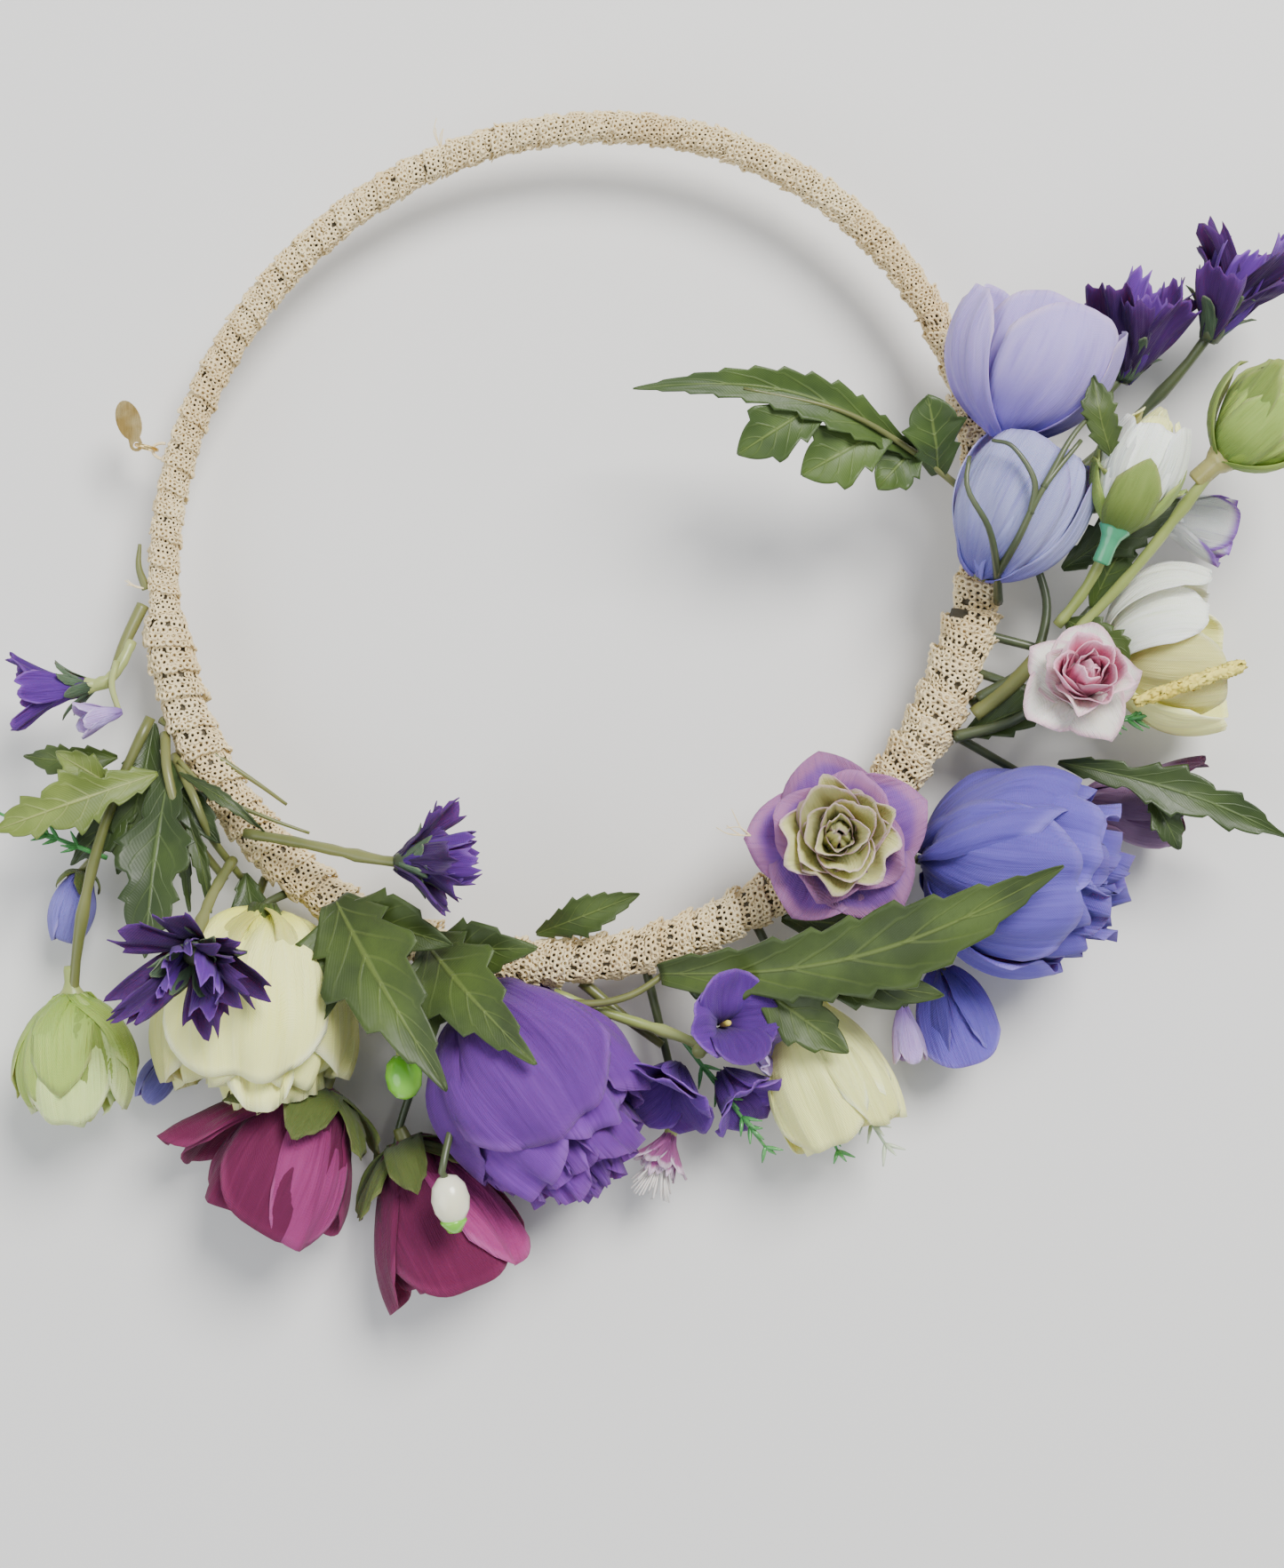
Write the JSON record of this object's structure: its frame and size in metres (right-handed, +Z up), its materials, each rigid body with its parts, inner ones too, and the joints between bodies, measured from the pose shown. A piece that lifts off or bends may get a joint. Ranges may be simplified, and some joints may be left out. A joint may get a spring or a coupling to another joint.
{
  "type": "flower crown headband",
  "caption": "Wire hoop headband wound with crocheted lace, carrying artificial flowers, buds and leaves along the front half and a small hanging brass tag.",
  "frame": {"origin": "centre of the hoop, on the plane of its centre line", "axes": "+Z up, square to the hoop's plane, as the crown lies on a table; +Y towards the bare back of the hoop, with the flowers round the front and the right side"},
  "size_m": [0.2849, 0.2681, 0.0536],
  "materials": {
    "hoop_wire": "drawn wire",
    "lace": "soft cloth",
    "thread_loop": "soft cloth",
    "brass": "polished, lightly worn",
    "lavender_upper": "soft cloth",
    "lavender_lower": "soft cloth",
    "white_rosebud": "soft cloth",
    "green_bud_right": "soft cloth",
    "cornflower_near": "soft cloth",
    "cornflower_far": "soft cloth",
    "white_pansy": "soft cloth",
    "calla": "soft cloth",
    "pink_rosebud": "soft cloth",
    "mauve_pansy": "soft cloth",
    "blue_peony": "soft cloth",
    "blue_anemone": "soft cloth",
    "lilac_floret": "soft cloth",
    "rose": "soft cloth",
    "ivory_tulip": "soft cloth",
    "violet_floret": "soft cloth",
    "pink_daisy": "soft cloth",
    "violet_peony": "soft cloth",
    "snowdrop_bud": "glossy",
    "berry": "glossy",
    "magenta_right": "soft cloth",
    "magenta_left": "soft cloth",
    "ivory_peony": "soft cloth",
    "cornflower_hanging": "soft cloth",
    "green_bud_left": "soft cloth",
    "blue_bud_left": "soft cloth",
    "blue_low_left": "soft cloth",
    "floret_left": "soft cloth",
    "lilac_small": "soft cloth",
    "cornflower_inner": "soft cloth",
    "calla_spadix": "soft cloth",
    "stem_green": "satin",
    "fern_leaf": "soft cloth",
    "big_leaf": "soft cloth",
    "maple_leaf_left": "soft cloth",
    "maple_leaf_right": "soft cloth",
    "upper_left_leaf": "soft cloth",
    "hanging_left_leaf": "soft cloth",
    "right_leaf": "soft cloth",
    "inner_leaf": "soft cloth"
  },
  "bodies": {
    "crown": {"hoop_wire": "hoop_wire", "lace_back_right": "lace", "lace_back_left": "lace", "lace_left": "lace", "lace_front": "lace", "lace_right_lower": "lace", "lace_right_upper": "lace", "thread_loop": "thread_loop", "lavender_upper": "lavender_upper", "lavender_lower": "lavender_lower", "cornflower_near": "cornflower_near", "white_pansy": "white_pansy", "calla": "calla", "pink_rosebud": "pink_rosebud", "mauve_pansy": "mauve_pansy", "blue_peony": "blue_peony", "blue_anemone": "blue_anemone", "lilac_floret": "lilac_floret", "rose": "rose", "ivory_tulip": "ivory_tulip", "violet_floret": "violet_floret", "pink_daisy": "pink_daisy", "violet_peony": "violet_peony", "snowdrop_bud": "snowdrop_bud", "berry": "berry", "magenta_right": "magenta_right", "magenta_left": "magenta_left", "ivory_peony": "ivory_peony", "blue_bud_left": "blue_bud_left", "blue_low_left": "blue_low_left", "calla_spadix": "calla_spadix", "branch_right": "stem_green", "stem_cornflower_near": "stem_green", "stem_cornflower_far": "stem_green", "stem_berry": "stem_green", "stem_violet_floret": "stem_green", "big_leaf": "big_leaf", "maple_leaf_left": "maple_leaf_left", "maple_leaf_right": "maple_leaf_right", "hanging_left_leaf": "hanging_left_leaf", "right_leaf": "right_leaf", "inner_leaf": "inner_leaf"},
    "spray_white_rosebud": {"stem_white_rosebud": "stem_green"},
    "spray_green_bud_right": {"stem_green_bud_right": "stem_green"},
    "spray_green_bud_left": {"stem_green_bud_left": "stem_green", "upper_left_leaf": "upper_left_leaf"},
    "spray_floret_left": {"stem_floret_left": "stem_green", "lilac_small": "lilac_small"},
    "spray_cornflower_hanging": {"stem_cornflower_hanging": "stem_green", "cornflower_hanging": "cornflower_hanging"},
    "spray_cornflower_inner": {"stem_cornflower_inner": "stem_green", "cornflower_inner": "cornflower_inner"},
    "head_white_rosebud": {"white_rosebud": "white_rosebud"},
    "head_green_bud_right": {"green_bud_right": "green_bud_right"},
    "head_cornflower_far": {"cornflower_far": "cornflower_far"},
    "head_green_bud_left": {"green_bud_left": "green_bud_left"},
    "head_floret_left": {"floret_left": "floret_left"},
    "fern": {"fern_leaf": "fern_leaf"},
    "ring": {"jump_ring": "brass"},
    "tag": {"brass_tag": "brass"}
  },
  "joints": [
    {"name": "bend_white_rosebud", "type": "hinge", "parent": "crown", "child": "spray_white_rosebud", "pos_m": [0.10687, -0.01962, 0.0075], "axis": [0.8878, -0.4602, 0], "range_deg": [-3, 25]},
    {"name": "bend_green_bud_right", "type": "hinge", "parent": "crown", "child": "spray_green_bud_right", "pos_m": [0.11062, -0.0211, 0.0065], "axis": [0.7758, -0.6309, 0], "range_deg": [-6, 25]},
    {"name": "bend_green_bud_left", "type": "hinge", "parent": "crown", "child": "spray_green_bud_left", "pos_m": [-0.09466, -0.03902, 0.003], "axis": [-0.9652, 0.2614, 0], "range_deg": [0, 15]},
    {"name": "bend_floret_left", "type": "hinge", "parent": "crown", "child": "spray_floret_left", "pos_m": [-0.09871, -0.02098, 0.002], "axis": [-0.785, 0.6195, 0], "range_deg": [-6, 25]},
    {"name": "bend_cornflower_hanging", "type": "hinge", "parent": "crown", "child": "spray_cornflower_hanging", "pos_m": [-0.07556, -0.07046, 0.005], "axis": [-0.968, 0.2511, 0], "range_deg": [-6, 30]},
    {"name": "bend_cornflower_inner", "type": "hinge", "parent": "crown", "child": "spray_cornflower_inner", "pos_m": [-0.07997, -0.06476, 0.0045], "axis": [-0.1477, -0.989, 0], "range_deg": [-4, 30]},
    {"name": "turn_white_rosebud", "type": "hinge", "parent": "spray_white_rosebud", "child": "head_white_rosebud", "pos_m": [0.11811, 0.00206, 0.018], "axis": [0.3549, 0.9245, 0.1392], "continuous": true},
    {"name": "turn_green_bud_right", "type": "hinge", "parent": "spray_green_bud_right", "child": "head_green_bud_right", "pos_m": [0.14219, 0.01771, 0.017], "axis": [0.7132, 0.6445, 0.2756], "continuous": true},
    {"name": "turn_cornflower_far", "type": "hinge", "parent": "crown", "child": "head_cornflower_far", "pos_m": [0.14148, 0.04597, 0.008], "axis": [0.3345, 0.9192, 0.2079], "continuous": true},
    {"name": "turn_green_bud_left", "type": "hinge", "parent": "spray_green_bud_left", "child": "head_green_bud_left", "pos_m": [-0.11147, -0.10108, 0.006], "axis": [0.0558, -0.9984, 0], "continuous": true},
    {"name": "turn_floret_left", "type": "hinge", "parent": "spray_floret_left", "child": "head_floret_left", "pos_m": [-0.10742, -0.03202, 0.006], "axis": [-0.9858, -0.1315, 0.1045], "continuous": true},
    {"name": "bend_fern_leaf", "type": "hinge", "parent": "crown", "child": "fern", "pos_m": [0.08347, 0.01472, 0.008], "axis": [0.2045, 0.9789, 0], "range_deg": [-8, 30]},
    {"name": "ring_swing", "type": "hinge", "parent": "crown", "child": "ring", "pos_m": [-0.09486, 0.02155, 0], "axis": [-0.2215, -0.9751, 0], "range_deg": [-75, 75]},
    {"name": "tag_swing", "type": "hinge", "parent": "ring", "child": "tag", "pos_m": [-0.09852, 0.02238, 0], "axis": [0, 0, 1], "range_deg": [-40, 100]}
  ]
}
